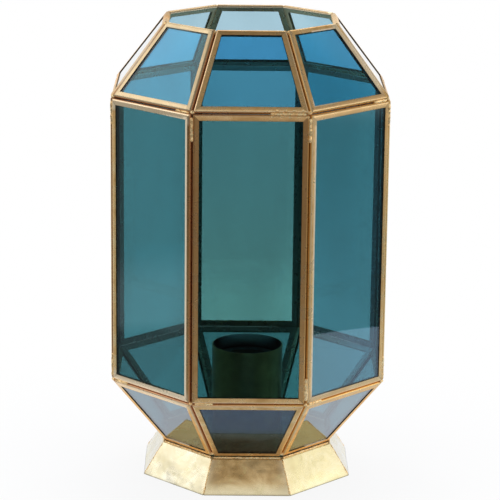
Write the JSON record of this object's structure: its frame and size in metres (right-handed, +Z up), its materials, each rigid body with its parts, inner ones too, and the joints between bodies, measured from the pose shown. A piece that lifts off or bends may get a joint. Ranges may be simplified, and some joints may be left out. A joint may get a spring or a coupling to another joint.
{
  "type": "table lamp",
  "caption": "Octagonal glass lantern table lamp with tapered roof and base tiers, an open top, a flared brass foot and a screw lamp holder inside.",
  "frame": {"origin": "centre of the foot, on the surface that the lamp stands on", "axes": "+Z up along the lantern's axis, -Y out of the pane that faces the viewer"},
  "size_m": [0.1594, 0.1594, 0.2703],
  "materials": {
    "channel_brass": "aged, brushed",
    "roof_glass": "clear, blue tint",
    "body_glass": "clear, teal tint",
    "taper_glass": "clear, teal tint",
    "solder": "bright, lumpy",
    "skirt_brass": "cloudy satin",
    "grommet_rubber": "matte",
    "sleeve_metal": "dark satin",
    "holder_plastic": "matte",
    "contact_brass": "bright",
    "plated_steel": "zinc plated"
  },
  "bodies": {
    "lamp": {"roof_frame_1": "channel_brass", "roof_frame_2": "channel_brass", "roof_frame_3": "channel_brass", "roof_frame_4": "channel_brass", "roof_frame_5": "channel_brass", "roof_frame_6": "channel_brass", "roof_frame_7": "channel_brass", "roof_frame_8": "channel_brass", "roof_pane_1": "roof_glass", "roof_pane_2": "roof_glass", "roof_pane_3": "roof_glass", "roof_pane_4": "roof_glass", "roof_pane_5": "roof_glass", "roof_pane_6": "roof_glass", "roof_pane_7": "roof_glass", "roof_pane_8": "roof_glass", "body_frame_1": "channel_brass", "body_frame_2": "channel_brass", "body_frame_3": "channel_brass", "body_frame_4": "channel_brass", "body_frame_5": "channel_brass", "body_frame_6": "channel_brass", "body_frame_7": "channel_brass", "body_frame_8": "channel_brass", "body_pane_1": "body_glass", "body_pane_2": "body_glass", "body_pane_3": "body_glass", "body_pane_4": "body_glass", "body_pane_5": "body_glass", "body_pane_6": "body_glass", "body_pane_7": "body_glass", "body_pane_8": "body_glass", "taper_frame_1": "channel_brass", "taper_frame_2": "channel_brass", "taper_frame_3": "channel_brass", "taper_frame_4": "channel_brass", "taper_frame_5": "channel_brass", "taper_frame_6": "channel_brass", "taper_frame_7": "channel_brass", "taper_frame_8": "channel_brass", "taper_pane_1": "taper_glass", "taper_pane_2": "taper_glass", "taper_pane_3": "taper_glass", "taper_pane_4": "taper_glass", "taper_pane_5": "taper_glass", "taper_pane_6": "taper_glass", "taper_pane_7": "taper_glass", "taper_pane_8": "taper_glass", "solder_beads": "solder", "floor_plate": "skirt_brass", "base_skirt": "skirt_brass", "cable_grommet": "grommet_rubber", "holder_sleeve": "sleeve_metal", "lamp_holder": "holder_plastic", "screw_shell": "contact_brass", "terminal_screws": "plated_steel", "mounting_nipple": "plated_steel", "lock_washer": "plated_steel", "lock_nut": "plated_steel"},
    "contact": {"centre_contact": "contact_brass"}
  },
  "joints": [
    {"name": "contact_press", "type": "hinge", "parent": "lamp", "child": "contact", "pos_m": [-0.0046, 0, 0.04195], "axis": [0, 1, 0], "range_deg": [0, 6], "stiffness_Nm_per_rad": 0.1}
  ]
}
